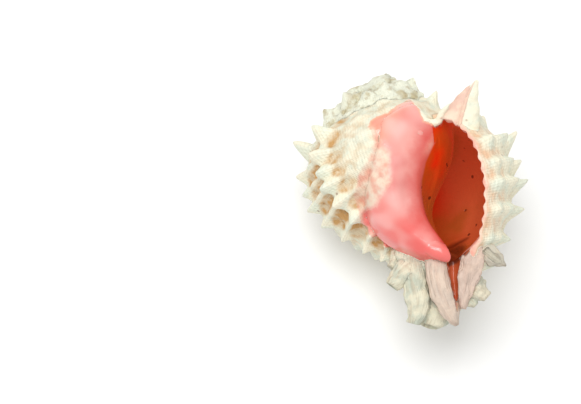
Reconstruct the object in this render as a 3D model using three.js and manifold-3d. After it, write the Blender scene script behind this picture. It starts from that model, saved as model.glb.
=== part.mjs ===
// A spiny sea-snail shell (murex kind), lying on its back with the mouth up.
// It grew as one piece, so it is one body. Millimetres, +Z up.
//
// The shell is first built round its own coiling axis: apex up, mouth facing -Y. Going back
// along the coil from the lip every size shrinks by one rule towards the apex. At the end
// the finished body is laid down and put on the floor.
import * as THREE from 'three';
import Module from 'manifold-3d';

const wasm = await Module();
wasm.setup();

const rad = (degrees) => degrees * Math.PI / 180;

// ---- sizes that drive the shell --------------------------------------------------
const APEX = 93;                 // height of the apex above the foot of the columella
const WHORL = 1.64;              // growth in one full turn
const LIP = rad(-44);            // azimuth of the lip
const MOUTH_TILT = rad(14);      // stations of the mouth are given up a plane tilted by this
// radius and depth below the apex of the last whorl at the lip, shoulder to canal
const PROFILE = [
  [24.5, 27], [31, 30], [37.5, 35.5], [41.8, 42.5], [43.5, 50.5], [42.7, 60.5],
  [39, 70.5], [33, 79], [25, 86.5], [18.5, 92.5], [13.5, 98], [10.5, 102.5],
];
// rows of spines: degrees back from the lip, strength
const ROWS = [
  [9, 0.45], [27, 0.75], [46, 1.4], [112, 1.1], [152, 0.55], [190, 0.45], [222, 0.85],
  [258, 0.95], [296, 0.6], [340, 0.6], [380, 0.9], [420, 0.7], [462, 0.8], [505, 1],
  [548, 1.1], [592, 1.1], [640, 1.2], [690, 1.3], [745, 1.3], [800, 1.3], [860, 1.3],
];
// spiral cords that carry them: depth below the apex, spine height
const CORDS = [
  [35.5, 6.5], [46.5, 5.2], [55, 3.8], [62.5, 5.2], [71.5, 4.8], [80.5, 4.4], [89, 5],
  [96.5, 4.5],
];
const WORN_FROM = 400;           // rows older than this are worn down to knobs
const LONG_ROW = 222;            // the row whose spine on the shoulder is a long blunt horn
const LEANING_TO = 60;           // rows younger than this lean towards the apex
const CRUST = 2.4;               // thickness of the old growth over the worn whorls
const ROW_RELIEF = 2;            // height of the swelling under a row of spines
const WALL = 3.2;                // thickness of the last whorl's wall
const LIP_WALL = 2;              // thickness at the lip
const HOLLOW_TURN = 260;         // degrees the hollow reaches back from the lip
const OLDEST = 1150;             // degrees back from the lip to the first whorl kept
const STRETCHES = [0, 160, 330, 520, 760, OLDEST]; // the coil is built in stretches
const PROFILE_STEPS = 18;

// columella side of the hollow, foot to shoulder: radius and depth below the apex
const COLUMELLA = [
  [15.5, 84], [11.5, 80], [10.2, 72], [10, 65], [12.5, 59.5], [18.5, 53], [23.8, 46.5],
  [26.4, 40], [27.6, 34],
];

// stations down the inner lip, from the notch at the shoulder to the entrance of the canal:
// across, up the tilted plane, and y. The callus spreads from BORDER over MIDDLE and turns
// into the mouth at TURN.
const BORDER = [
  [16.9, 64.9, -20.5], [12.6, 75.4, -18.5], [-2.5, 72.4, -24.6], [-6, 64, -27.6],
  [-13.6, 52.4, -23.8], [-17.6, 39.6, -15.6], [-14.6, 27.6, -10.8], [-3.6, 17.6, -12.6],
  [7.4, 12.4, -13],
];
const MIDDLE = [
  [18, 64.4, -21.6], [14, 70, -23.8], [5.5, 67.5, -27.5], [0.5, 60, -30],
  [-3, 50, -29.2], [-5, 39.5, -26], [-3.2, 29, -22.4], [3.4, 20.8, -20], [9.4, 14.6, -18],
];
const TURN = [
  [19, 63.6, -21], [17.6, 61, -22], [14.2, 56.4, -23.2], [10.7, 51.4, -23.4],
  [7.6, 45.2, -22.8], [6, 38, -21.4], [6.5, 29.6, -19.2], [9.6, 21.2, -17], [12.4, 15, -14.6],
];
// folds of the neck beside the canal: path (x, y, z), half width, half thickness
const FOLDS = [
  { path: [[2, -2, 45], [2, -3, 30], [1, -3, 14], [0, -3, 2], [-1, -3, -6], [-3.2, -3.5, -10]],
    wide: [6, 8, 9, 8.4, 7.2, 4.4], thick: [6, 8, 9, 7.4, 5.4, 2.6] },
  { path: [[6.5, -10, 17], [5.5, -12.5, 11], [4.6, -13, 4], [4.6, -12.5, -3], [5.6, -11.5, -9],
    [6.6, -10, -14]],
    wide: [3, 4, 4.4, 4.2, 3.4, 1], thick: [3, 3.4, 3.4, 3.2, 2.2, 0.8] },
  { path: [[-3, -7, 20], [-4.2, -9.5, 12], [-4.6, -10.5, 4], [-5.6, -10, -3], [-8.6, -8.5, -8.6]],
    wide: [5, 5.2, 4.8, 4.4, 2.6], thick: [4, 4, 3.6, 3, 1.6] },
  { path: [[-3, -8, 13], [-6.5, -10.5, 11], [-10, -11, 9], [-12.6, -11, 7]],
    wide: [4.5, 4.4, 3.8, 2.6], thick: [4, 3.6, 3, 1.8] },
  { path: [[-2, -4, 22], [-7, -6, 18], [-11.5, -7, 14.6]],
    wide: [5, 3.6, 1.6], thick: [5, 3.4, 1.3] },
];
// flaps at the foot of the lip, on the other side of the canal
const FLAPS = [
  { path: [[24, -17, 16], [20, -16.5, 9.5], [16, -14.5, 3.5], [12.6, -12.5, -3], [10, -11, -8.5]],
    wide: [2.6, 4.2, 4.2, 3.2, 1.6], thick: [2.4, 2.6, 2.4, 2.2, 1.2] },
  { path: [[22, -15, 12], [25, -16, 8.4], [27.6, -16.4, 5], [30, -16, 1.8]],
    wide: [4, 3.8, 2.8, 0.6], thick: [3, 2.8, 2.2, 0.6] },
  { path: [[13, -10, 3.5], [16, -10.4, 0], [18.4, -10, -3.4], [20.4, -9.4, -6.4]],
    wide: [4.4, 4.6, 4, 2.2], thick: [3, 2.6, 2, 1] },
];
// the round end of the callus
const KNOB = {
  path: [[2, -17, 18.4], [5.6, -17.4, 15.2], [8.8, -17.2, 12.4], [11, -16.2, 10.6],
    [12.2, -15.4, 9.7]],
  wide: [2.5, 3.3, 3.2, 2.3, 0.4], thick: [2, 2.7, 2.8, 2, 0.4],
};
// the rim of the notch between the callus and the long spine of the lip
const NOTCH = {
  path: [[12.8, -18.4, 70.6], [14.4, -19.6, 66.6], [15.4, -20.4, 63.6], [17.6, -20.8, 61.4],
    [20.4, -21.8, 61.3], [22.6, -24.2, 63.4], [26, -27, 65.2]],
  wide: [0.3, 1.1, 1.4, 1.5, 1.4, 1.2, 0.2], thick: [0.3, 1.1, 1.4, 1.5, 1.4, 1.2, 0.2],
};
// the open canal: path, half width, half depth of the groove
const CANAL = {
  path: [[14, -17, 22], [12.6, -14.5, 14], [11.2, -13.4, 7.6], [10, -12.8, 1.6], [9, -12, -4],
    [8.2, -11, -9]],
  wide: [3.4, 2.6, 2.2, 1.5, 0.9, 0.3], thick: [7, 6, 4.6, 3.8, 3, 2],
};
// the long channelled spine at the shoulder end of the lip: path, half width, half thickness
const HORN = {
  path: [[24, -19.5, 52], [28.5, -24.5, 58.5], [32.6, -29.5, 64], [37.4, -35.6, 68.6]],
  wide: [9, 7.2, 4.4, 0.5], thick: [4, 3.6, 2.4, 0.5],
};
const HORN_GROOVE = {
  path: [[20.4, -24, 54.6], [24.6, -27.4, 60.4], [30.4, -32, 66], [37, -38, 70.8]],
  wide: [3.9, 3.1, 1.7, 0.5], thick: [4, 3.4, 2, 0.6],
};

// laid down on five spines of its back: the axis level, then rolled and tipped onto them
const LEVEL = rad(-90);
const ROLL = rad(-8.2);
const TIP = rad(2.4);

// ---- curves ------------------------------------------------------------------------
function curveThrough(points) {
  const flat = points[0].length === 2;
  if (flat) {
    return new THREE.SplineCurve(points.map(([x, y]) => new THREE.Vector2(x, y)));
  }
  return new THREE.CatmullRomCurve3(points.map((p) => new THREE.Vector3(...p)), false, 'centripetal');
}

function valueAlong(values, t) {
  const at = t * (values.length - 1);
  const i = Math.min(Math.floor(at), values.length - 2);
  return values[i] + (values[i + 1] - values[i]) * (at - i);
}

const profileCurve = curveThrough(PROFILE);

/** Radius, depth and outward normal of the last whorl at t, 0 shoulder to 1 canal. */
function profileAt(t) {
  const point = profileCurve.getPoint(t);
  const tangent = profileCurve.getTangent(t);
  return { radius: point.x, depth: point.y, nr: tangent.y, nz: tangent.x };
}

/** The t at which the profile reaches a depth below the apex. */
function profileAtDepth(depth) {
  let low = 0;
  let high = 1;
  for (let i = 0; i < 30; i += 1) {
    const middle = (low + high) / 2;
    if (profileCurve.getPoint(middle).y < depth) low = middle;
    else high = middle;
  }
  return (low + high) / 2;
}

const shrink = (turn) => WHORL ** (-turn / 360);

/** A point of the shell's frame from its place in the section at a turn back from the lip. */
function place(turn, radius, depth) {
  const scale = shrink(turn);
  const azimuth = LIP + rad(turn);
  return [
    scale * radius * Math.cos(azimuth), scale * radius * Math.sin(azimuth), APEX - scale * depth,
  ];
}

/** Swelling of the rows, steep on the side of growth, and the crust of the old whorls. */
function relief(turn, t) {
  const fade = Math.min(t / 0.1, 1);
  let sum = 0;
  for (const [row, strength] of ROWS) {
    const x = (turn - row) / (turn < row ? 5.5 : 11);
    sum += strength * Math.exp(-x * x);
  }
  const old = Math.min(Math.max((turn - 375) / 90, 0), 1);
  return ROW_RELIEF * sum * fade + CRUST * old / shrink(turn);
}

// ---- closed solids from rings ----------------------------------------------------
/** A closed solid through rings of points; both ends are closed on the ring's middle. */
function solid(rings) {
  const around = rings[0].length;
  const points = rings.flat();
  const triangles = [];
  for (let i = 0; i + 1 < rings.length; i += 1) {
    for (let j = 0; j < around; j += 1) {
      const k = (j + 1) % around;
      const a = i * around;
      const b = a + around;
      triangles.push(a + j, b + j, b + k, a + j, b + k, a + k);
    }
  }
  for (const [ring, flip] of [[0, false], [rings.length - 1, true]]) {
    const centre = points.length;
    const sum = rings[ring].reduce((s, p) => [s[0] + p[0], s[1] + p[1], s[2] + p[2]], [0, 0, 0]);
    points.push(sum.map((value) => value / around));
    for (let j = 0; j < around; j += 1) {
      const a = ring * around + j;
      const b = ring * around + ((j + 1) % around);
      triangles.push(centre, ...(flip ? [b, a] : [a, b]));
    }
  }
  return new wasm.Manifold(new wasm.Mesh({
    numProp: 3,
    vertProperties: new Float32Array(points.flat()),
    triVerts: new Uint32Array(outward(points, triangles)),
  }));
}

/** Triangles wound so that the volume they close is positive. */
function outward(points, triangles) {
  let volume = 0;
  for (let i = 0; i < triangles.length; i += 3) {
    const [a, b, c] = [points[triangles[i]], points[triangles[i + 1]], points[triangles[i + 2]]];
    volume += a[0] * (b[1] * c[2] - b[2] * c[1]) - a[1] * (b[0] * c[2] - b[2] * c[0])
      + a[2] * (b[0] * c[1] - b[1] * c[0]);
  }
  return volume > 0 ? triangles : triangles.slice().reverse();
}

/** An oval carried along a path, its wide side facing the mouth's viewer. */
function swept({ path, wide, thick }, rings = 12, around = 12) {
  const curve = curveThrough(path);
  const front = new THREE.Vector3(0, -1, 0);
  const out = [];
  for (let i = 0; i <= rings; i += 1) {
    const t = i / rings;
    const centre = curve.getPoint(t);
    const side = new THREE.Vector3().crossVectors(curve.getTangent(t), front).normalize();
    const up = new THREE.Vector3().crossVectors(side, curve.getTangent(t));
    const ring = [];
    for (let j = 0; j < around; j += 1) {
      const angle = 2 * Math.PI * j / around;
      const point = centre.clone()
        .addScaledVector(side, valueAlong(wide, t) * Math.cos(angle))
        .addScaledVector(up, valueAlong(thick, t) * Math.sin(angle));
      ring.push(point.toArray());
    }
    out.push(ring);
  }
  return solid(out);
}

// ---- the whorls ------------------------------------------------------------------
/** Turns at which the coil is cut into sections, closer together near the lip. */
function sectionTurns() {
  const turns = [0];
  while (turns[turns.length - 1] < OLDEST) {
    const last = turns[turns.length - 1];
    turns.push(last + 5.9 + last / 58);
  }
  return turns;
}

/** The section of the coil at a turn, solid to the axis. */
function section(turn) {
  const ring = [];
  for (let j = 0; j <= PROFILE_STEPS; j += 1) {
    const t = j / PROFILE_STEPS;
    const { radius, depth, nr, nz } = profileAt(t);
    const lift = relief(turn, t);
    ring.push(place(turn, radius + lift * nr, depth - lift * nz));
  }
  for (const depth of [101, 60, 22]) ring.push(place(turn, 1.2, depth));
  return ring;
}

/** The coil: stretches of less than a full turn, each sharing one section gap with the next. */
function coil() {
  const turns = sectionTurns();
  let whole = null;
  for (let i = 0; i + 1 < STRETCHES.length; i += 1) {
    const first = Math.max(turns.findIndex((turn) => turn >= STRETCHES[i]) - 1, 0);
    const last = turns.findIndex((turn) => turn >= STRETCHES[i + 1]);
    const stretch = solid(turns.slice(first, last + 1).map(section));
    whole = whole ? whole.add(stretch) : stretch;
  }
  return whole;
}

/** A spine where a row crosses a cord, steep towards the lip; on the spire a worn knob. */
function spine(row, strength, depth, height) {
  const t0 = profileAtDepth(depth);
  const horn = row === LONG_ROW && depth < 40;
  const length = strength * height * (horn ? 1.7 : 1);
  const worn = row > WORN_FROM;
  const lean = worn ? 0.75 : row < LEANING_TO ? 0.65 : 0.25;
  const rings = [];
  const levels = worn
    ? [[2.2, -1.5], [1.7, 0.35 * length], [0.8, 0.6 * length]]
    : [[0.85, -0.8], [horn ? 0.55 : 0.4, 0.45 * length], [horn ? 0.2 : 0.08, length]];
  for (const [spread, lift] of levels) {
    const ring = [];
    for (let j = 0; j < 6; j += 1) {
      const angle = 2 * Math.PI * j / 6;
      const along = Math.cos(angle) * (Math.cos(angle) < 0 ? 5.7 : 11) * spread;
      const t = Math.min(Math.max(t0 + Math.sin(angle) * 0.042 * spread, 0), 1);
      const { radius, depth: down, nr, nz } = profileAt(t);
      const rise = lift + relief(row, t);
      const up = Math.max(lean * lift, 0);
      ring.push(place(row + along, radius + rise * nr, down - rise * nz - up));
    }
    rings.push(ring);
  }
  return solid(rings);
}

/** The hollow of the last whorl, from just outside the lip back round the columella. */
function hollow() {
  const rings = [];
  const inner = curveThrough(COLUMELLA);
  for (let turn = -8; turn <= HOLLOW_TURN; turn += 9) {
    const wall = LIP_WALL + (WALL - LIP_WALL) * Math.min(Math.max(turn / 14, 0), 1);
    const ring = [];
    for (let j = 0; j <= 14; j += 1) {
      const { radius, depth, nr, nz } = profileAt(0.07 + 0.59 * j / 14);
      ring.push(place(turn, radius - wall * nr, depth + wall * nz));
    }
    for (let j = 0; j <= 9; j += 1) {
      const point = inner.getPoint(j / 9);
      ring.push(place(turn, point.x, point.y));
    }
    rings.push(ring);
  }
  return solid(rings);
}

/** A point of the shell's frame from a station: across, up the tilted plane, and y. */
function stationPoint([x, up, y]) {
  return [x, y, (up + y * Math.sin(MOUTH_TILT)) / Math.cos(MOUTH_TILT)];
}

/** The callus, spread over the previous whorl beside the mouth and turned in to the hollow. */
function callus() {
  const [border, middle, turn] = [BORDER, MIDDLE, TURN].map((line) => (
    curveThrough(line.map(stationPoint))));
  const inner = curveThrough(COLUMELLA);
  const bulge = new THREE.Vector3(-0.3, -1, 0);
  const rings = [];
  for (let i = 0; i <= 18; i += 1) {
    const t = i / 18;
    const [outer, crest, edge] = [border, middle, turn].map((line) => line.getPoint(t));
    const wall = inner.getPoint(1 - 0.94 * t);
    const root = new THREE.Vector3(...place(3, wall.x - 0.5, wall.y));
    const core = new THREE.Vector3(...place(6, wall.x * 0.3, wall.y));
    const half = outer.clone().lerp(crest, 0.45).addScaledVector(bulge, 1.2);
    const late = crest.clone().lerp(edge, 0.55).addScaledVector(bulge, 0.8);
    const ring = [outer.lerp(core, 0.1), half, crest, late, edge, root, core];
    rings.push(ring.map((point) => point.toArray()));
  }
  return solid(rings);
}

// ---- put together ----------------------------------------------------------------
let shell = coil();
for (const [row, strength] of ROWS) {
  const cords = row < 280 ? CORDS.length : 2;
  for (const [depth, height] of CORDS.slice(0, row > WORN_FROM ? 1 : cords)) {
    const hidden = (row < 50 && depth < 40) || (row > 280 && row < 370);
    if (!hidden) shell = shell.add(spine(row, strength, depth, height));
  }
}
shell = shell.add(callus());
for (const fold of FOLDS) shell = shell.add(swept(fold, 7, 10));
for (const flap of FLAPS) shell = shell.add(swept(flap, 6, 8));
shell = shell.add(swept(KNOB, 6, 8)).add(swept(HORN, 7, 10)).subtract(swept(HORN_GROOVE, 6, 8));
shell = shell.subtract(hollow()).add(swept(NOTCH, 9, 6)).subtract(swept(CANAL, 9, 10));

// ---- the named mesh ----------------------------------------------------------------
const mesh = shell.getMesh();
const geometry = new THREE.BufferGeometry();
geometry.setAttribute('position', new THREE.BufferAttribute(new Float32Array(mesh.vertProperties), 3));
geometry.setIndex(Array.from(mesh.triVerts));
geometry.applyMatrix4(new THREE.Matrix4().makeRotationX(TIP)
  .multiply(new THREE.Matrix4().makeRotationY(ROLL))
  .multiply(new THREE.Matrix4().makeRotationX(LEVEL)));
geometry.computeBoundingBox();
const box = geometry.boundingBox;
geometry.translate(
  -(box.min.x + box.max.x) / 2, -(box.min.y + box.max.y) / 2, -box.min.z,
);
geometry.computeVertexNormals();

const group = new THREE.Group();
const body = new THREE.Mesh(geometry, new THREE.MeshStandardMaterial({
  color: 0xece4cd, roughness: 0.6, metalness: 0,
}));
body.name = 'shell';
group.add(body);
export default group;
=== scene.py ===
import math

import bpy
import numpy as np
from mathutils import Matrix, Vector


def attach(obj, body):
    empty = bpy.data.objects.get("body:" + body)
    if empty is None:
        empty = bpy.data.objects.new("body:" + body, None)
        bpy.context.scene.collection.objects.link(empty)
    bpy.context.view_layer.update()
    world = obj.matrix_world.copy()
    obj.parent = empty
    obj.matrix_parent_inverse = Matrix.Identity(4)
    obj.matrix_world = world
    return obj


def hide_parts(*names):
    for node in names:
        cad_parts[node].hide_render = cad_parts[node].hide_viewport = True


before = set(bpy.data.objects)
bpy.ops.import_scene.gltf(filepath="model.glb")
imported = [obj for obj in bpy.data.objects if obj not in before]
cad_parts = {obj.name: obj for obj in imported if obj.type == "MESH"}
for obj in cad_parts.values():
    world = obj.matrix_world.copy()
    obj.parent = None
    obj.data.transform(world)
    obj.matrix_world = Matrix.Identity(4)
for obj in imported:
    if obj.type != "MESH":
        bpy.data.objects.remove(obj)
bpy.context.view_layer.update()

# ==== The coil ====================================================================
# A murex adds lime at the lip of its shell, so the shell is one tube of chalky lime that
# winds round an axis and keeps its proportions. Going back from the lip, every length
# shrinks by WHORL in a full turn, towards the apex. Lengths are in millimetres, apex up.
APEX = 93.0
WHORL = 1.64
LIP_AZIMUTH = math.radians(-44)
OLDEST_TURN = 1150
PROFILE = np.array([
    (24.5, 27), (31, 30), (37.5, 35.5), (41.8, 42.5), (43.5, 50.5), (42.7, 60.5),
    (39, 70.5), (33, 79), (25, 86.5), (18.5, 92.5), (13.5, 98), (10.5, 102.5),
])
# rows of spines: degrees back from the lip, strength, reach of a spine to the front and back
ROWS = np.array([
    (9, 0.45, 7, 6), (27, 0.75, 13, 6), (46, 1.4, 8, 9), (112, 1.1, 5, 9),
    (152, 0.55, 5, 9), (190, 0.45, 4, 9), (222, 0.85, 5, 9), (240, 0.5, 5, 5),
    (258, 0.95, 7, 8), (296, 0.5, 5, 9), (340, 0.3, 5, 9), (380, 0.9, 6, 10),
    (420, 0.8, 9, 11), (462, 0.9, 9, 11), (505, 0.9, 9, 11), (548, 0.95, 9, 11),
    (592, 0.9, 9, 11), (640, 1.0, 9, 11), (690, 1.0, 9, 11), (745, 1.0, 9, 11),
    (800, 1.0, 9, 11), (860, 1.0, 9, 11),
])
# spiral cords that carry the spines: depth below the apex, spine height, ridge height
CORDS = np.array([
    (35.5, 6.5, 1.3), (46.5, 5.2, 1.2), (55, 3.8, 0.9), (62.5, 5.2, 1.2),
    (71.5, 4.8, 1.1), (80.5, 4.4, 1.0), (89, 5.0, 1.1), (96.5, 4.5, 0.9),
])
SMOOTH_ROWS = (240, 296, 340)
# rows picked out: the broad one behind the lip, the one with a long shoulder spine, and one
# whose spines are blunter; rows nearer the lip than LOW_TO have a low shoulder spine
BROAD_ROW, LONG_ROW, BLUNT_ROW = 27, 222, 258
LOW_TO = 50
# turns: up to which spines lean forward, where pits are deepest, from which all is worn
LEANING_TO = 60
PITTED_TURN = 244
WORN_TURN = 400
# depth below the apex down to which a cord is at the shoulder
SHOULDER = 40
PIT_DEPTH = 4.2
CRUST = 2.4
# the edge of the lip is rounded over this many degrees
EDGE_TURN = 1.6


def spline(points, t):
    """A smooth curve through points, t from 0 to 1: on each stretch the cubic through both
    ends whose slope at an end is half the step between that end's two neighbours."""
    points = np.asarray(points, float)
    last = len(points) - 1
    at = np.clip(np.asarray(t, float), 0, 1) * last
    i = np.minimum(at.astype(int), last - 1)
    f = (at - i).reshape(at.shape + (1,) * (points.ndim - 1))
    before, start = points[np.maximum(i - 1, 0)], points[i]
    end, after = points[i + 1], points[np.minimum(i + 2, last)]
    v0, v1 = (end - before) / 2, (after - start) / 2
    return ((2 * start - 2 * end + v0 + v1) * f**3
            + (3 * end - 3 * start - 2 * v0 - v1) * f**2 + v0 * f + start)


fine_profile = spline(PROFILE, np.linspace(0, 1, 1201))
fine_arc = np.concatenate([[0], np.cumsum(np.hypot(*np.diff(fine_profile, axis=0).T))])
PROFILE_LENGTH = fine_arc[-1]


def profile(arc):
    """Radius, depth and outward normal of the section, at a length along it from its top."""
    radius, depth = (np.interp(arc, fine_arc, fine_profile[:, k]) for k in (0, 1))
    run, drop = (np.interp(arc + 0.6, fine_arc, fine_profile[:, k])
                 - np.interp(arc - 0.6, fine_arc, fine_profile[:, k]) for k in (0, 1))
    length = np.hypot(run, drop) + 1e-9
    return radius, depth, drop / length, run / length


def arc_at(depth):
    """Length along the section at which it reaches a depth below the apex."""
    return np.interp(depth, fine_profile[:, 1], fine_arc)


def place(turn, radius, depth):
    """A point from its place in the section at a turn back from the lip: the section is
    scaled about the apex by WHORL to the power of minus the turn, and swung round the axis."""
    turn, radius, depth = np.broadcast_arrays(turn, radius, depth)
    scale = WHORL ** (-turn / 360)
    azimuth = LIP_AZIMUTH + np.radians(turn)
    return np.stack([scale * radius * np.cos(azimuth), scale * radius * np.sin(azimuth),
                     APEX - scale * depth], -1)


def bell(x):
    return np.exp(-x * x)


def ramp(x, low, high):
    """0 below low, 1 above high, and smooth between."""
    f = np.clip((x - low) / (high - low), 0, 1)
    return f * f * (3 - 2 * f)


def ripple(points, size, seed):
    """Uneven swell between about -1 and 1: the mean of nine sine waves of about one length
    in scattered directions."""
    draw = np.random.default_rng(seed)
    total = 0
    for _ in range(9):
        wave = draw.normal(size=3)
        wave *= 2 * np.pi / (size * draw.uniform(0.7, 1.5)) / np.linalg.norm(wave)
        total = total + np.sin(points @ wave + draw.uniform(0, 6.28))
    return total / 3.2


def relief(turn, arc):
    """Height of the sculpture over the smooth coil, and of its spines alone. A row is a
    swelling, steep towards the lip. A cord is a rounded ridge, stronger on a row. A spine
    is a cone with hollow flanks where they cross; on the old whorls it is a worn knob. The
    rest is slow unevenness, and a lumpy crust on the old whorls."""
    turn, arc = np.broadcast_arrays(turn, arc)
    swelling = np.zeros(turn.shape)
    spines = np.zeros(turn.shape)
    ridges = np.zeros(turn.shape)
    for depth, _, height in CORDS:
        ridges = ridges + height * bell((arc - arc_at(depth)) / 2.1)
    pitted = bell((turn - PITTED_TURN) / 24)
    for row, strength, front, back in ROWS:
        x = turn - row
        lead = 13 if row == BROAD_ROW else 5.5
        swelling = swelling + strength * bell(x / np.where(x < 0, lead, 10))
        reach = np.radians(x) * 40
        reach = reach / np.where(reach < 0, front, back)
        worn = row > WORN_TURN
        half = 7.5 if worn else 4.3
        for depth, height, _ in CORDS[:1] if worn else CORDS:
            tall = strength * height * (0.9 if worn else 0 if row in SMOOTH_ROWS else 1)
            at_shoulder = depth < SHOULDER
            long = row == LONG_ROW and at_shoulder
            if row < LOW_TO and at_shoulder:
                tall *= 0.25
            away = np.sqrt(reach**2 + ((arc - arc_at(depth)) / half)**2 + 0.004)
            blunt = 0.8 if long else 1.0 if worn or row == BLUNT_ROW else 1.45
            cone = np.clip(1 - away, 0, 1) ** blunt
            spines = np.maximum(spines, (1.7 if long else 1) * tall * cone)
    body = np.clip(arc / 8, 0, 1)
    near_row = np.clip(swelling, 0, 1)
    height = 2.0 * swelling * body + spines
    height = height + ridges * (0.55 + 0.6 * near_row + 1.1 * pitted) * body
    between = np.clip(1 - ridges, 0, 1) * np.clip(1 - 1.2 * swelling, 0, 1)
    height = height - PIT_DEPTH * pitted * between * body
    frill = bell((arc - 3.5) / 2.6) * ramp(turn, 185, 225) * (1 - ramp(turn, 325, 355))
    height = height + 1.9 * frill * (1 + 0.45 * np.cos(np.radians(turn * 9)))
    size = WHORL ** (turn / 360)
    smooth = place(turn, *profile(arc)[:2])
    old = ramp(turn, 375, 465)
    lumps = CRUST + 1.5 * ripple(smooth, 11, 5) + 0.6 * ripple(smooth, 5, 6)
    lumps = lumps + 0.2 * ripple(smooth, 2.2, 8)
    holes = ramp(ripple(smooth, 6.5, 9), 0.8, 1.2)
    lumps = lumps - 2.2 * holes
    height = height + size * (old * lumps + 0.22 * ripple(smooth, 7, 7))
    return height, spines


def closed_body(name, rings, growth, look):
    """A closed mesh through rings of points (ring, around, xyz), a fan over either end.
    growth and look are three values per point that the material reads."""
    n, m = rings.shape[:2]
    ends = np.stack([rings[0].mean(0), rings[-1].mean(0)])
    points = np.concatenate([rings.reshape(-1, 3), ends])
    i, j = np.meshgrid(np.arange(n - 1), np.arange(m), indexing="ij")
    k = (j + 1) % m
    quads = np.stack([i * m + j, i * m + m + j, i * m + m + k, i * m + k], -1).reshape(-1, 4)
    j = np.arange(m)
    k = (j + 1) % m
    first = np.stack([np.full(m, n * m), k, j], -1)[:, ::-1]
    last = np.stack([np.full(m, n * m + 1), n * m - m + k, n * m - m + j], -1)
    a, b, c, d = (points[quads[:, q]] for q in range(4))
    volume = np.einsum("ij,ij->i", a, np.cross(b, c) + np.cross(c, d)).sum()
    faces = [quads, first, last]
    if volume < 0:
        faces = [f[:, ::-1] for f in faces]
    mesh = bpy.data.meshes.new(name)
    mesh.from_pydata(points.tolist(), [], [f for kind in faces for f in kind.tolist()])
    for label, values in (("growth", growth), ("look", look)):
        values = np.broadcast_to(values, rings.shape).reshape(-1, 3)
        values = np.concatenate([values, values[:1], values[-1:]])
        store = mesh.attributes.new(label, "FLOAT_VECTOR", "POINT")
        store.data.foreach_set("vector", np.ascontiguousarray(values, np.float32).ravel())
    made = bpy.data.objects.new(name, mesh)
    bpy.context.scene.collection.objects.link(made)
    return made


def combine(body, other, how):
    """body with other joined to it, or cut from it; other is used up."""
    step = body.modifiers.new(how, "BOOLEAN")
    step.object, step.operation, step.solver = other, how, "MANIFOLD"
    graph = bpy.context.evaluated_depsgraph_get()
    made = bpy.data.meshes.new_from_object(body.evaluated_get(graph))
    body.modifiers.remove(step)
    before, used = body.data, other.data
    body.data = made
    bpy.data.objects.remove(other)
    bpy.data.meshes.remove(before)
    bpy.data.meshes.remove(used)
    return body


def look_of(pink, deep, coil):
    """The three values that mix the finishes: pink glaze, deep inside, part of the coil.
    The last is never 0, so that a point without any can be told."""
    pink, deep, coil = np.broadcast_arrays(pink, deep, coil)
    return np.stack([pink, deep, coil], -1)


def coil_sections(turns, arc_end, count):
    """Closed sections of the coil: the sculptured outer line, then back up the axis."""
    arc = np.linspace(0, arc_end, count)[None, :]
    turn = turns[:, None]
    radius, depth, nr, nz = profile(arc)
    height, spines = relief(np.maximum(turn, 0), arc)
    rim = np.clip(-turn / EDGE_TURN, 0, 1)
    height = height - 1.7 * rim**2
    lean = np.where(turn > WORN_TURN, 0.6, np.where(turn < LEANING_TO, 0.65, 0.25)) * spines
    outer = place(turn, radius + height * nr, depth - height * nz - lean)
    foot = depth[0, -1] - 1.5
    core = place(turn, 1.2, np.array([[foot, (foot + 22) / 2, 22.0]]))
    rings = np.concatenate([outer, core], 1)
    growth = np.zeros(rings.shape)
    growth[..., 0] = turn
    growth[:, :count, 1] = arc
    growth[:, :count, 2] = height
    pink = np.zeros(rings.shape[:2])
    pink[:, :count] = 0.8 * bell(np.minimum(turn + EDGE_TURN, 30) / 2.2) * ramp(arc, 2, 8)
    return rings, growth, look_of(pink, 0.0, 1.0)


# sections stand closer on a row, towards the apex and at the lip
turn_grid = np.linspace(-EDGE_TURN, OLDEST_TURN, 20000)
crowding = 1 + sum(1.1 * bell((turn_grid - row - 1) / 8) for row, *_ in ROWS)
crowding = crowding * WHORL ** (-0.7 * turn_grid / 360) * (1 + 6 * bell((turn_grid + 1) / 1.5))
station = np.concatenate([[0], np.cumsum(crowding[1:])])
all_turns = np.interp(np.linspace(0, station[-1], 560), station, turn_grid)

# turns of each stretch, how much of the section it shows, and points along that line
STRETCHES = ((-2, 165, 1, 136), (165, 366, 1, 128), (366, 560, 0.6, 72), (560, 800, 0.6, 52),
             (800, OLDEST_TURN, 0.6, 36))
shell = None
for start, end, share, count in STRETCHES:
    first = max(np.searchsorted(all_turns, start) - 1, 0)
    last = np.searchsorted(all_turns, end)
    stretch = closed_body("stretch", *coil_sections(all_turns[first:last + 1],
                                                    share * PROFILE_LENGTH, count))
    if shell is None:
        shell = stretch
        shell.name = "murex_shell"
    else:
        combine(shell, stretch, "UNION")

# ==== The callus ====================================================================
# Beside the mouth the snail has spread a thick glossy glaze over the whorl before. It
# thins out to nothing on the left, turns in to the mouth on the right, and ends below in
# a free rim over the neck.
MOUTH_TILT = math.radians(14)
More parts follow.
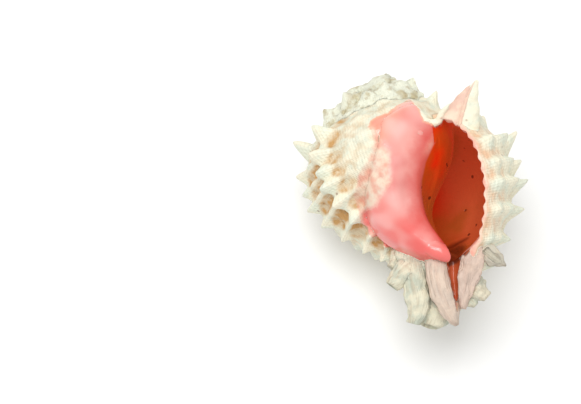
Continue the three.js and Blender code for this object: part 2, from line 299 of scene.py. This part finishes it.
# Stations run from the notch at the shoulder to the canal: across, up a plane tilted by
# MOUTH_TILT, and depth (y).
BORDER = [
    (16.9, 64.9, -20.5), (12.6, 75.4, -18.5), (-2.5, 72.4, -24.6), (-6, 64, -27.6),
    (-13.6, 52.4, -23.8), (-17.6, 39.6, -15.6), (-14.6, 27.6, -10.8), (-3.6, 17.6, -12.6),
    (7.4, 12.4, -13),
]
CREST = [
    (18, 64.4, -21.6), (14, 70, -23.8), (5.5, 67.5, -27.5), (0.5, 60, -30),
    (-3, 50, -29.2), (-5, 39.5, -26), (-3.2, 29, -22.4), (3.4, 20.8, -20), (9.4, 14.6, -18),
]
EDGE = [
    (19, 63.6, -21), (17.6, 61, -22), (14.2, 56.4, -23.2), (10.7, 51.4, -23.4),
    (7.6, 45.2, -22.8), (6, 38, -21.4), (6.5, 29.6, -19.2), (9.6, 21.2, -17), (12.4, 15, -14.6),
]
# the inner side of the hollow, from the foot up: radius and depth in the lip's section
COLUMELLA = [
    (15.5, 84), (11.5, 80), (10.2, 72), (10, 65), (12.5, 59.5), (18.5, 53), (23.8, 46.5),
    (26.4, 40), (27.6, 34),
]


def from_station(points):
    """Points from stations: the height is measured up the tilted plane."""
    x, up, y = np.asarray(points, float).T
    return np.stack([x, y, (up + y * math.sin(MOUTH_TILT)) / math.cos(MOUTH_TILT)], -1)


def callus_rings(count=150, around=70):
    """Each ring runs from under the border over a low bulge, the crest and the turned edge
    to the columella, on one smooth curve, and back through the solid."""
    t = np.linspace(0, 1, count)
    border, crest, edge = (spline(from_station(line), t) for line in (BORDER, CREST, EDGE))
    inner = spline(COLUMELLA, 1 - 0.94 * t)
    root = place(3.0, inner[:, 0] - 0.5, inner[:, 1])
    core = place(6.0, inner[:, 0] * 0.3, inner[:, 1])
    out = np.array([-0.3, -1, 0])
    knots = np.stack([border + 0.12 * (core - border), border * 0.55 + crest * 0.45 + 1.2 * out,
                      crest, crest * 0.45 + edge * 0.55 + 0.8 * out, edge,
                      edge * 0.4 + root * 0.6 + 0.3 * out, root], 0)
    s = np.linspace(0, 1, around)
    skin = spline(knots, s).transpose(1, 0, 2)
    swell = 0.35 * ripple(skin, 16, 11) * np.sin(np.pi * s)[None, :]
    skin = skin + swell[..., None] * out
    rings = np.concatenate([skin, core[:, None]], 1)
    growth = np.zeros(rings.shape)
    growth[..., 0] = t[:, None]
    growth[:, :around, 1] = s
    deep = np.ones(rings.shape[:2])
    deep[:, :around] = ramp(s, 0.66, 0.8)
    return rings, growth, look_of(0.0, deep, 0.5)


combine(shell, closed_body("callus", *callus_rings()), "UNION")

# ==== The neck ======================================================================
# Below the mouth the shell narrows to a neck. Old ends of the canal stay on it as folded,
# gaping lobes, with a crack between them and the wall of the canal now in use, all of
# the same lime as the coil.
# Each is a path (x, y, z), half widths, half thicknesses and the depth of its open end.
FOLDS = [
    ([(2, -2, 45), (2, -3, 30), (1, -3, 14), (0, -3, 2), (-1, -3, -6), (-3.2, -3.5, -10)],
     [6, 8, 9, 8.4, 7.2, 4.4], [6, 8, 9, 7.4, 5.4, 2.6], 3),
    ([(6.5, -10, 17), (5.5, -12.5, 11), (4.6, -13, 4), (4.6, -12.5, -3), (5.6, -11.5, -9),
      (6.6, -10, -14)], [3, 4, 4.4, 4.2, 3.4, 1], [3, 3.4, 3.4, 3.2, 2.2, 0.8], 0),
    ([(-3, -7, 20), (-4.2, -9.5, 12), (-4.6, -10.5, 4), (-5.6, -10, -3), (-8.6, -8.5, -8.6)],
     [5, 5.2, 4.8, 4.4, 2.6], [4, 4, 3.6, 3, 1.6], 2),
    ([(-3, -8, 13), (-6.5, -10.5, 11), (-10, -11, 9), (-12.6, -11, 7)],
     [4.5, 4.4, 3.8, 2.8], [4, 3.6, 3, 2.2], 4),
    ([(-2, -4, 22), (-7, -6, 18), (-11.5, -7, 14.6)], [5, 3.6, 1.6], [5, 3.4, 1.3], 0),
    ([(24, -17, 16), (20, -16.5, 9.5), (16, -14.5, 3.5), (12.6, -12.5, -3), (10, -11, -8.5)],
     [2.6, 4.2, 4.2, 3.2, 1.6], [2.4, 2.6, 2.4, 2.2, 1.2], 0),
    ([(22, -15, 12), (25, -16, 8.4), (27.6, -16.4, 5), (30, -16, 1.8)], [4, 3.8, 2.8, 0.6],
     [3, 2.8, 2.2, 0.6], 0),
    ([(13, -10, 3.5), (16, -10.4, 0), (18.4, -10, -3.4), (20.4, -9.4, -6.4)],
     [4.4, 4.6, 4, 2.2], [3, 2.6, 2, 1], 2.5),
    ([(11, -9.5, -1), (13.6, -9.6, -5), (15.6, -9, -8.4)], [3.6, 3, 1.2], [2.6, 2, 0.8], 0),
]
# how pink each of them is, and how uneven
FOLD_TINTS = (0, 0.25, 0, 0, 0, 0.3, 0.12, 0.05, 0)
FOLD_ROUGHNESS = (0.38, 0.38, 0.38, 0.38, 0.38, 0.7, 0.6, 0.6, 0.5)
# the open channel of the flap at the foot of the lip
SCOOP = ([(24, -20, 9.4), (26.6, -19.8, 5.6), (30, -18.4, 1.6)],
         [1.4, 1.7, 0.7], [2.6, 2.4, 1], 0)
# the worn first whorls under the crust, at the apex
TIP = ([(0.3, 0, 74), (0, 0, 80), (0, 0, 84.6), (0.2, 0, 87.6), (0.4, 0, 88.6)],
       [5, 5.6, 5, 3, 0.4], [5, 5.6, 5, 3, 0.4], 0)
# the round end of the callus
KNOB = ([(2, -17, 18.4), (5.6, -17.4, 15.2), (8.8, -17.2, 12.4), (11, -16.2, 10.6),
         (12.2, -15.4, 9.7)],
        [2.5, 3.3, 3.2, 2.3, 0.4], [2, 2.7, 2.8, 2, 0.4], 0)
# the open canal, cut into the neck's front
CANAL = ([(14, -17, 22), (12.6, -14.5, 14), (11.2, -13.4, 7.6), (10, -12.8, 1.6), (9, -12, -4),
          (8.2, -11, -9)], [3.4, 2.6, 2.2, 1.5, 0.9, 0.3], [7, 6, 4.6, 3.8, 3, 2], 0)

# the rings of an open end: size, and how far back inside
INWARD = ((0.9, -0.12), (0.78, 0.1), (0.66, 0.4), (0.45, 0.75), (0.1, 1.0))


def swept(path, wide, thick, gape, look, rough, seed, rings=56, around=36):
    """An oval carried along a path, its wide side to the front, with an uneven skin. An
    open end is a cup: its last rings turn back inside, smaller and smaller."""
    t = np.linspace(0, 1, rings)
    middle = spline(path, t)
    ahead = np.gradient(middle, axis=0)
    ahead /= np.linalg.norm(ahead, axis=1)[:, None]
    side = np.cross(ahead, (0, -1, 0))
    side /= np.linalg.norm(side, axis=1)[:, None]
    up = np.cross(side, ahead)
    angle = np.linspace(0, 2 * np.pi, around, endpoint=False)
    width, depth = (spline(np.array(v, float)[:, None], t) for v in (wide, thick))
    body = (middle[:, None] + side[:, None] * (width * np.cos(angle))[..., None]
            + up[:, None] * (depth * np.sin(angle))[..., None])
    bump = rough * (ripple(body, 6, seed) + 0.5 * ripple(body, 2.6, seed + 1))
    centre = middle[:, None]
    body = body + bump[..., None] * (body - centre) / (
        np.linalg.norm(body - centre, axis=2)[..., None] + 0.5)
    along = np.broadcast_to(t[:, None], body.shape[:2])
    if gape:
        cup = [middle[-1] - ahead[-1] * gape * back + (body[-1] - middle[-1]) * size
               for size, back in INWARD]
        body = np.concatenate([body, cup])
        along = np.concatenate([along, np.full((len(INWARD), around), 1.2)])
    growth = np.zeros(body.shape)
    growth[..., 0] = along
    growth[..., 1] = angle
    return body, growth, look_of(*look)


for number, (fold, tint, rough) in enumerate(zip(FOLDS, FOLD_TINTS, FOLD_ROUGHNESS)):
    lobe = swept(*fold, (tint, 0, 0.02), rough, 20 + 2 * number)
    combine(shell, closed_body("fold", *lobe), "UNION")
tip_rings, tip_growth, tip_look = swept(*TIP, (0, 0, 1), 0.5, 64)
tip_growth[:] = OLDEST_TURN, 0, 2
combine(shell, closed_body("tip", tip_rings, tip_growth, tip_look), "UNION")
combine(shell, closed_body("scoop", *swept(*SCOOP, (0.1, 0, 0.02), 0.1, 60)), "DIFFERENCE")
knob_rings, knob_growth, knob_look = swept(*KNOB, (0, 0, 0.5), 0.1, 62)
knob_growth[..., 1] = 0.3
combine(shell, closed_body("knob", knob_rings, knob_growth, knob_look), "UNION")

# ==== The horn ======================================================================
# At the shoulder end of the lip stands one long spine, open to the front as a pink
# channel: the lip folded outwards there while it grew.
HORN = ([(24, -19.5, 52), (28.5, -24.5, 58.5), (32.6, -29.5, 64), (37.4, -35.6, 68.6)],
        [9, 7.2, 4.4, 0.5], [4, 3.6, 2.4, 0.5], 0)
GROOVE = ([(20.4, -24, 54.6), (24.6, -27.4, 60.4), (30.4, -32, 66), (37, -38, 70.8)],
          [4.3, 3.8, 2.2, 0.6], [4, 3.4, 2, 0.6], 0)
SEAM = ([(25.4, -23.6, 53.6), (29.2, -28.6, 60), (32.4, -32.2, 64.6), (36.6, -36.4, 69)],
        [0.9, 0.8, 0.6, 0.3], [1.5, 1.3, 1, 0.5], 0)
# the rim of the notch between the callus and the horn
NOTCH = ([(12.8, -18.4, 70.6), (14.4, -19.6, 66.6), (15.4, -20.4, 63.6), (17.6, -20.8, 61.4),
          (20.4, -21.8, 61.3), (22.6, -24.2, 63.4), (26, -27, 65.2)],
         [0.3, 1.1, 1.4, 1.5, 1.4, 1.2, 0.2], [0.3, 1.1, 1.4, 1.5, 1.4, 1.2, 0.2], 0)
combine(shell, closed_body("horn", *swept(*HORN, (0.03, 0, 0.25), 0.2, 40)), "UNION")
combine(shell, closed_body("groove", *swept(*GROOVE, (0.55, 0, 0.25), 0.1, 42)), "DIFFERENCE")
combine(shell, closed_body("seam", *swept(*SEAM, (0.5, 0, 0.25), 0.1, 44)), "DIFFERENCE")

# ==== The hollow and the lip ========================================================
# The last whorl is hollow. Its wall thins to a pleated edge at the lip; inside, the glaze
# is deep orange. The hollow is followed for nearly three quarters of a turn from the lip.
HOLLOW_TURN = 262
WALL = 3.2
PLEAT = 4.75
ALONG_WALL = 110


def hollow_rings(count=110):
    """Sections of the hollow: the outer line set in by the wall's thickness, then the
    columella. The wall grows from the edge inwards, with pleats that fade inside."""
    turn = (-8 + (HOLLOW_TURN + 8) * np.linspace(0, 1, count) ** 1.7)[:, None]
    arc = np.linspace(arc_at(29.4), arc_at(81.4), ALONG_WALL)[None, :]
    radius, depth, nr, nz = profile(arc)
    wall = 0.6 + 1.5 * ramp(turn, -EDGE_TURN, 4) + (WALL - 2.1) * ramp(turn, 3, 16)
    wall = wall + 0.5 * np.cos(2 * np.pi * arc / PLEAT) * bell((turn - 0.5) / 4.5)
    outer = place(turn, radius - wall * nr, depth + wall * nz)
    line = spline(COLUMELLA, np.linspace(0, 1, 60))
    inner = place(turn, line[None, :, 0], line[None, :, 1])
    rings = np.concatenate([outer, inner], 1)
    growth = np.zeros(rings.shape)
    growth[..., 0] = turn
    growth[:, :ALONG_WALL, 1] = arc
    deep = np.ones(rings.shape[:2])
    deep[:, :ALONG_WALL] = ramp(turn, 1.5, 7)
    return rings, growth, look_of(1.0, deep, 0.02)


combine(shell, closed_body("hollow", *hollow_rings()), "DIFFERENCE")
combine(shell, closed_body("notch", *swept(*NOTCH, (0.12, 0, 0.25), 0.12, 46)), "UNION")
combine(shell, closed_body("canal", *swept(*CANAL, (1, 0.8, 0.02), 0.15, 50)), "DIFFERENCE")

# ==== The finished surface ===========================================================
# Where features meet, lime has grown over the joint, so the creases are eased a little.
# Then the shell is laid on its back on five of its spines, as the frame has it.


def values_of(mesh, label):
    stored = np.empty(len(mesh.vertices) * 3, np.float32)
    mesh.attributes[label].data.foreach_get("vector", stored)
    return stored.reshape(-1, 3).astype(float)


mesh = shell.data
count = len(mesh.vertices)
points = np.empty(count * 3, np.float32)
mesh.vertices.foreach_get("co", points)
points = points.reshape(-1, 3).astype(float)
ends = np.empty(len(mesh.edges) * 2, np.int32)
mesh.edges.foreach_get("vertices", ends)
ends = ends.reshape(-1, 2)


def neighbours(values, weight):
    """Weighted mean of a value over each vertex's neighbours, and the weight it had."""
    total = np.zeros((count, values.shape[1]))
    share = np.zeros(count)
    for a, b in ((0, 1), (1, 0)):
        np.add.at(total, ends[:, a], values[ends[:, b]] * weight[ends[:, b], None])
        np.add.at(share, ends[:, a], weight[ends[:, b]])
    return total / np.maximum(share, 1e-9)[:, None], share


# points made where two bodies met have no values yet: they take them from their neighbours,
# and the surface round them is smoothed
EASINGS = 6
growth, look = values_of(mesh, "growth"), values_of(mesh, "look")
known = (look[:, 2] > 0.01).astype(float)
crease = 1 - known
for _ in range(EASINGS):
    both, share = neighbours(np.concatenate([growth, look], 1), known)
    fill = (known < 0.5) & (share > 0)
    growth[fill], look[fill] = both[fill, :3], both[fill, 3:]
    known[fill] = 1
for _ in range(2):
    crease = np.maximum(crease, 0.7 * neighbours(crease[:, None], np.ones(count))[0][:, 0] * 2)
crease = np.clip(crease, 0, 1)
for _ in range(EASINGS):
    mean, _ = neighbours(points, np.ones(count))
    points = points + (mean - points) * (0.5 * crease)[:, None]

# outlines of the callus, of its thin outer part, of the mouth and of the painted shadow where
# the canal opens under the knob, as across and up the tilted plane
GLAZED = [
    (14, 73), (12.8, 75.6), (4.8, 73.8), (-4.4, 71.3), (-6.2, 69.2), (-4.4, 64.1), (-4.9, 61),
    (-2.2, 57.7), (-3.6, 52.5), (-4.8, 47.8), (-11.9, 41.2), (-17.6, 39.4), (-17.7, 34.3),
    (-15.3, 28.4), (-9.4, 21.2), (-1.5, 16.2), (2.9, 13), (8.4, 11.6), (14, 14), (13, 24),
    (12, 38), (17, 50), (24, 60), (17.6, 64.6), (15.2, 66),
]
THINLY_GLAZED = [
    (6, 72), (-4.9, 69), (-7.6, 60), (-14.8, 53.1), (-18.4, 45.5), (-18, 38), (-16, 29), (0, 30),
    (4, 50),
]
MOUTH = [
    (20.5, 61.4), (15.3, 56.9), (10.7, 51.4), (7.4, 45), (5.9, 39.7), (6.2, 31.8), (8.3, 23.4),
    (11.5, 17.7), (16, 12), (21.9, 15.7), (26.8, 22.3), (29.7, 31.4), (31, 40.8), (31.3, 50.6),
    (29, 55.2), (24, 60.5),
]
CANAL_SHADOW = [
    (12.6, 17.8), (17.5, 18.4), (22.2, 18.6), (18.4, 15.4), (16.2, 13.4), (13, 11), (9, 10.4),
    (10.5, 14),
]


def inside_by(outline, points):
    """Distance of points inside a closed outline of straight sides, negative outside."""
    start = np.asarray(outline, float)
    side = np.roll(start, -1, axis=0) - start
    away = points[:, None] - start
    share = np.clip((away * side).sum(2) / (side**2).sum(1), 0, 1)
    distance = np.linalg.norm(away - share[..., None] * side, axis=2).min(1)
    beside = away[..., 0] - away[..., 1] * side[:, 0] / np.where(side[:, 1] == 0, 1e-9, side[:, 1])
    level = away[..., 1] / np.where(side[:, 1] == 0, 1e-9, side[:, 1])
    crossed = ((level >= 0) & (level < 1) & (beside < 0)).sum(1)
    return np.where(crossed % 2 == 1, distance, -distance)


plane = np.stack([points[:, 0], points[:, 2] * math.cos(MOUTH_TILT)
                  - points[:, 1] * math.sin(MOUTH_TILT)], 1)
under_glaze = (look[:, 2] > 0.3) & ((growth[:, 0] > 250) | (look[:, 2] < 0.7)) & (points[:, 1] < -3)
glaze = np.zeros((count, 3))
glaze[:, 0] = np.where(under_glaze, np.clip(0.5 + inside_by(GLAZED, plane) / 8, 0, 1), 0)
glaze[:, 1] = np.where(under_glaze, np.clip(0.5 + inside_by(THINLY_GLAZED, plane) / 8, 0, 1), 0)
# the third value is a painted shadow: where the canal opens under the knob, the surface is painted
# near black
glaze[:, 2] = np.clip(0.5 + inside_by(CANAL_SHADOW, plane) / 5, 0, 1)
# the lip is pinker just over the mouth
above = ramp(inside_by(MOUTH, plane), -3.4, -0.6) * ramp(plane[:, 1], 50, 57)
above = above * ((growth[:, 0] < 12) | (look[:, 2] < 0.7)) * (points[:, 1] < 0)
look[:, 0] = np.maximum(look[:, 0], 0.45 * above)
# a wall seen through the mouth has the finish of the deep inside, whatever body it is of
within = ramp(inside_by(MOUTH, plane), 0.2, 1.6) * (points[:, 1] > -23.6)
wall_inside = (look[:, 2] < 0.7) | (growth[:, 0] < 2) | (growth[:, 0] > 250)
wall_inside &= (look[:, 0] < 0.5) & (points[:, 1] < 12)
look[:, 1] = np.where(wall_inside, np.maximum(look[:, 1], within), look[:, 1])

# and the wall is eased smooth there
in_mouth = look[:, 1] * ramp(inside_by(MOUTH, plane), 1.5, 4) * (points[:, 1] > -26)
for _ in range(40):
    mean, _ = neighbours(points, np.ones(count))
    points = points + (mean - points) * (0.6 * in_mouth)[:, None]

LAID = (Matrix.Rotation(math.radians(2.4), 3, "X") @ Matrix.Rotation(math.radians(-8.2), 3, "Y")
        @ Matrix.Rotation(math.radians(-90), 3, "X"))
SHIFT = Vector((-6.939, -37.56, 35.534))
placed = points @ np.array(LAID).T + np.array(SHIFT)
placed[:, 2] = np.maximum(placed[:, 2], 0)
mesh.vertices.foreach_set("co", (placed / 1000).astype(np.float32).ravel())
mesh.attributes.new("glaze", "FLOAT_VECTOR", "POINT")
for label, values in (("growth", growth), ("look", look), ("glaze", glaze)):
    mesh.attributes[label].data.foreach_set("vector", values.astype(np.float32).ravel())
mesh.shade_smooth()
mesh.set_sharp_from_angle(angle=math.radians(65))
mesh.update()

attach(shell, "root")
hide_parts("shell")


class Wire:
    """An output of a shader node. Sums and products of wires add the nodes they stand for."""

    def __init__(self, tree, socket=None):
        self.tree, self.socket = tree, socket

    def node(self, kind, settings, values, output=0):
        """Any node: its type, its settings, then a value or a wire for each input named."""
        made = self.tree.nodes.new("ShaderNode" + kind)
        for name, setting in settings.items():
            setattr(made, name, setting)
        for name, value in values.items():
            if isinstance(value, Wire):
                self.tree.links.new(value.socket, made.inputs[name])
            else:
                made.inputs[name].default_value = value
        return Wire(self.tree, made.outputs[output])

    def math(self, operation, a, b):
        return self.node("Math", {"operation": operation}, {0: a, 1: b})

    def __add__(self, other):
        return self.math("ADD", self, other)

    __radd__ = __add__

    def __sub__(self, other):
        return self.math("SUBTRACT", self, other)

    def __rsub__(self, other):
        return self.math("SUBTRACT", other, self)

    def __mul__(self, other):
        return self.math("MULTIPLY", self, other)

    __rmul__ = __mul__

    def sine(self):
        return self.math("SINE", self, 0.0)

    def largest(self, other):
        return self.math("MAXIMUM", self, other)

    def ramp(self, low, high):
        """0 below low, 1 above high, and smooth between."""
        return self.node("MapRange", {"interpolation_type": "SMOOTHSTEP"},
                         {"Value": self, "From Min": low, "From Max": high})

    def blend(self, first, second):
        """From the first colour at 0 to the second at 1."""
        return self.node("Mix", {"data_type": "RGBA"}, {"Factor": self, "A": first, "B": second},
                         "Result")

    def parts(self):
        """The three numbers of a vector."""
        return [self.node("SeparateXYZ", {}, {0: self}, k) for k in range(3)]

    def noise(self, scale, detail=3.0):
        return self.node("TexNoise", {}, {"Vector": self, "Scale": scale, "Detail": detail})

    def cells(self, scale):
        return self.node("TexVoronoi", {}, {"Vector": self, "Scale": scale})


def colour(red, green, blue):
    """A colour given as it looks on a screen, 0 to 255, in the linear values shaders take."""
    return tuple(((c / 255 + 0.055) / 1.055) ** 2.4 for c in (red, green, blue)) + (1,)


material = bpy.data.materials.new("shell_lime")
material.use_nodes = True
tree = material.node_tree
shader = tree.nodes["Principled BSDF"]
start = Wire(tree)
metres = start.node("TexCoord", {}, {}, "Object")
here = start.node("VectorMath", {"operation": "SCALE"}, {0: metres, "Scale": 1000})
across, along, _ = here.parts()
turn, arc, height = start.node("Attribute", {"attribute_name": "growth"}, {}, "Vector").parts()
pink, deep, coil = start.node("Attribute", {"attribute_name": "look"}, {}, "Vector").parts()
# the outlines of the glaze, and the painted shadow where the canal opens
thick, thin, canal_shadow = start.node("Attribute", {"attribute_name": "glaze"}, {}, "Vector").parts()
broad, patch = here.noise(0.055, 2.0), here.noise(0.2, 4.0)
fine, grain = here.noise(0.9, 5.0), here.noise(3.2, 4.0)

# chalky lime: ivory and pale green-grey patches, tan in the valleys, fine spiral threads and
# growth lines, rust specks; a brown-grey crust on the old whorls; wrinkled folds in painted shade
on_coil = coil.ramp(0.6, 0.95)
old = turn.ramp(375, 470) * on_coil
lime = patch.ramp(0.42, 0.62).blend(colour(251, 245, 220), colour(238, 242, 222))
lime = (fine.ramp(0.5, 0.72) * 0.3).blend(lime, colour(214, 212, 190))
valley = (1 - height.ramp(0.2, 2.6)) * on_coil
pitted = turn.ramp(205, 230) * (1 - turn.ramp(262, 285))
stain = here.noise(0.3, 3.0).ramp(0.36, 0.72)
stained = valley * (stain * 0.42 + pitted * (0.48 + 0.4 * stain))
lime = stained.blend(lime, colour(208, 160, 98))
blush = (1 - turn.ramp(34, 60)) * (1 - height.ramp(0.4, 2.2)) * on_coil
lime = (blush * (0.3 + 0.5 * stain)).blend(lime, colour(246, 196, 158))
thread = (arc * 6.6 + fine * 3.0).sine()
growth_line = (turn * 2.6 + patch * 9.0).sine()
lime = (thread.ramp(0.1, 1.0) * 0.07 * on_coil).blend(lime, colour(196, 160, 120))
lime = (growth_line.ramp(0.4, 1.0) * 0.1 * on_coil).blend(lime, colour(176, 168, 140))
crust = here.noise(0.3, 5.0)
crusty = patch.ramp(0.5, 0.68).blend(colour(250, 252, 232), colour(216, 204, 166))
crusty = (crust.ramp(0.52, 0.66) * 0.5).blend(crusty, colour(196, 176, 134))
crusty = (grain.ramp(0.55, 0.75) * 0.3).blend(crusty, colour(150, 126, 90))
sunk = (1 - height.ramp(0.4, 2.6)) * old
crusty = (sunk * 0.8).blend(crusty, colour(176, 122, 72))
lime = (old * 0.9).blend(lime, crusty)
speck = 1 - here.cells(0.16).ramp(0.04, 0.11)
speck = speck * here.noise(0.09, 2.0).ramp(0.5, 0.56)
lime = (speck * 0.6).blend(lime, colour(140, 80, 40))
fold = (1 - coil.ramp(0.05, 0.15)) * (1 - pink.ramp(0.5, 0.9))
wrinkle = start.node("CombineXYZ", {}, {0: (arc + 0.6 * patch).sine(), 1: (arc + 1.57).sine(),
                                       2: turn * 0.7}).noise(3.6, 5.0)
# partly painted shade: the folds' lime is darker and greyer than the coil's, their own ivory tone
# dimmed for the shade on the neck
folded = patch.ramp(0.4, 0.6).blend(colour(234, 228, 202), colour(204, 208, 188))
folded = (wrinkle.ramp(0.5, 0.66) * 0.42).blend(folded, colour(190, 170, 142))
folded = (pink * 2.2).blend(folded, colour(228, 190, 176))
lime = fold.blend(lime, folded)

# the glaze: salmon, coral below, orange at the upper left, milky clouds, a pale free rim
glaze_colour = broad.ramp(0.38, 0.62).blend(colour(228, 132, 126), colour(242, 168, 158))
low = (across * -0.5 - along + patch * 10).ramp(10, 26)
glaze_colour = (low * 0.75).blend(glaze_colour, colour(240, 94, 88))
high = (along - across + patch * 8).ramp(30, 42)
glaze_colour = (high * 0.6).blend(glaze_colour, colour(240, 154, 116))
milk = here.noise(0.1, 1.0).ramp(0.45, 0.75)
glaze_colour = (milk * 0.5).blend(glaze_colour, colour(255, 204, 196))
pale = (along + patch * 8).ramp(30, 46)
glaze_colour = (pale * 0.5).blend(glaze_colour, colour(252, 208, 194))
callus = coil.ramp(0.3, 0.45) * (1 - coil.ramp(0.55, 0.7))
turned = callus * (arc + (patch - 0.5) * 0.14).ramp(0.42, 0.64)
glaze_colour = (turned * 0.75).blend(glaze_colour, colour(214, 62, 50))
edge = thick + (patch - 0.5) * 0.34 + (fine - 0.5) * 0.12
fading = thin.ramp(0.35, 0.65)
glazed = edge.ramp(0.47, 0.55) * (1 - fading) + edge.ramp(0.44, 0.84) * fading
veiled = (thin + (patch - 0.5) * 0.3).ramp(0.46, 0.68) * (0.4 + 0.6 * stain)
rim = glazed * (1 - edge.ramp(0.55, 0.62)) * (1 - fading)
glaze_colour = (rim * 0.65).blend(glaze_colour, colour(246, 186, 150))
skin = (veiled * 0.9).blend(lime, colour(232, 162, 140))
skin = glazed.blend(skin, glaze_colour)
lip_colour = patch.ramp(0.4, 0.6).blend(colour(252, 212, 190), colour(244, 170, 152))
skin = (pink.ramp(0.05, 1.0) * (1 - fold)).blend(skin, lip_colour)

# the deep glaze inside: orange red at the shoulder, brown-orange, dull pink at the foot, and a
# painted shadow where the canal opens
inside = (along + patch * 8).ramp(-4, 18).blend(colour(182, 78, 32), colour(230, 30, 0))
inside = ((across + patch * 6).ramp(10, 24) * 0.8).blend(inside, colour(210, 104, 62))
inside = (broad.ramp(0.4, 0.62) * 0.5).blend(inside, colour(160, 86, 22))
dots = (1 - here.cells(0.2).ramp(0.1, 0.17)) * here.noise(0.12, 2.0).ramp(0.46, 0.5)
inside = (dots * 0.8).blend(inside, colour(70, 20, 8))
# painted shadow: the opening of the canal, under the knob, is painted near black
inside = (canal_shadow.ramp(0.4, 0.62) * 0.85).blend(inside, colour(58, 16, 6))
inner = deep.ramp(0.1, 0.9)
skin = inner.blend(skin, inside)

glossy = (glazed + pink * (1 - fold)).largest(inner)
rough = 0.72 - 0.52 * glossy.ramp(0, 1) + (grain - 0.5) * 0.12
height_map = (thread * 0.05 + growth_line * 0.05) * on_coil + grain * 0.14 + fine * 0.3
height_map = height_map + wrinkle * fold * 1.4 + (crust * 1.1 + grain * 0.3) * old - speck * 0.3
height_map = height_map * (1 - 0.9 * glossy.ramp(0, 1)) + patch * 0.35 - dots * inner * 0.2
bump = start.node("Bump", {}, {"Height": height_map, "Strength": 1.0, "Distance": 0.001})
# painted light: the deep inside is given a faint emission of its own colour, as if lit, though it
# is no lamp
painted_mouth_light = inner.blend((0, 0, 0, 1), inside)
for name, wire in (("Base Color", skin), ("Roughness", rough), ("Normal", bump),
                   ("Coat Weight", glazed * 0.5), ("Emission Color", painted_mouth_light)):
    tree.links.new(wire.socket, shader.inputs[name])
# strength of the painted light inside the mouth
shader.inputs["Emission Strength"].default_value = 0.17
shader.inputs["Coat Roughness"].default_value = 0.22
mesh.materials.clear()
mesh.materials.append(material)

# ==== Floor, light and camera ========================================================
# A plain pale floor under soft light: an even white surround, and one broad lamp above the
# camera. The camera looks down into the mouth, rolled so that the apex leans to the left.
FLOOR_HALF = 2
corners = [(x * FLOOR_HALF, y * FLOOR_HALF, 0) for x, y in ((-1, -1), (1, -1), (1, 1), (-1, 1))]
floor_mesh = bpy.data.meshes.new("floor")
floor_mesh.from_pydata(corners, [], [(0, 1, 2, 3)])
floor = bpy.data.objects.new("floor", floor_mesh)
bpy.context.scene.collection.objects.link(floor)
white = bpy.data.materials.new("floor_white")
white.use_nodes = True
finish = white.node_tree.nodes["Principled BSDF"]
finish.inputs["Base Color"].default_value = (0.95, 0.95, 0.95, 1)
floor_mesh.materials.append(white)

world = bpy.data.worlds.new("studio")
bpy.context.scene.world = world
world.use_nodes = True
surround = world.node_tree.nodes["Background"]
surround.inputs["Color"].default_value = (1, 1, 1, 1)
surround.inputs["Strength"].default_value = 0.65

ROLL = math.radians(15.1)
DISTANCE = 900
VIEW_WIDTH = 220.8
SENSOR = 36
# the middle of the view from the foot of the coil's axis, and the lamp from the camera
AIM = (-53.0, 37.2)
LAMP = (-60, 350)
across_view = Vector((1, 0, 0))
back = Vector((0, -math.cos(MOUTH_TILT), -math.sin(MOUTH_TILT)))
upright = Vector((0, -math.sin(MOUTH_TILT), math.cos(MOUTH_TILT)))
right = across_view * math.cos(ROLL) - upright * math.sin(ROLL)
up = across_view * math.sin(ROLL) + upright * math.cos(ROLL)
target = AIM[0] * right + AIM[1] * up
turned = LAID @ Matrix((right, up, back)).transposed()
eye = (LAID @ (target + back * DISTANCE) + SHIFT) / 1000
camera = bpy.data.objects.new("camera", bpy.data.cameras.new("camera"))
camera.data.sensor_width = SENSOR
camera.data.lens = SENSOR * DISTANCE / VIEW_WIDTH
camera.matrix_world = Matrix.Translation(eye) @ turned.to_4x4()
bpy.context.scene.collection.objects.link(camera)
bpy.context.scene.camera = camera
key = bpy.data.lights.new("key", "AREA")
key.energy, key.size = 6.2, 0.6
lamp = bpy.data.objects.new("key", key)
lamp.location = eye + (LAID @ (LAMP[0] * right + LAMP[1] * up)) / 1000
middle_of_shell = Vector((0, 0, 0.03))
towards = middle_of_shell - lamp.location
lamp.rotation_euler = towards.to_track_quat("-Z", "Y").to_euler()
bpy.context.scene.collection.objects.link(lamp)
bpy.context.scene.view_settings.view_transform = "Standard"
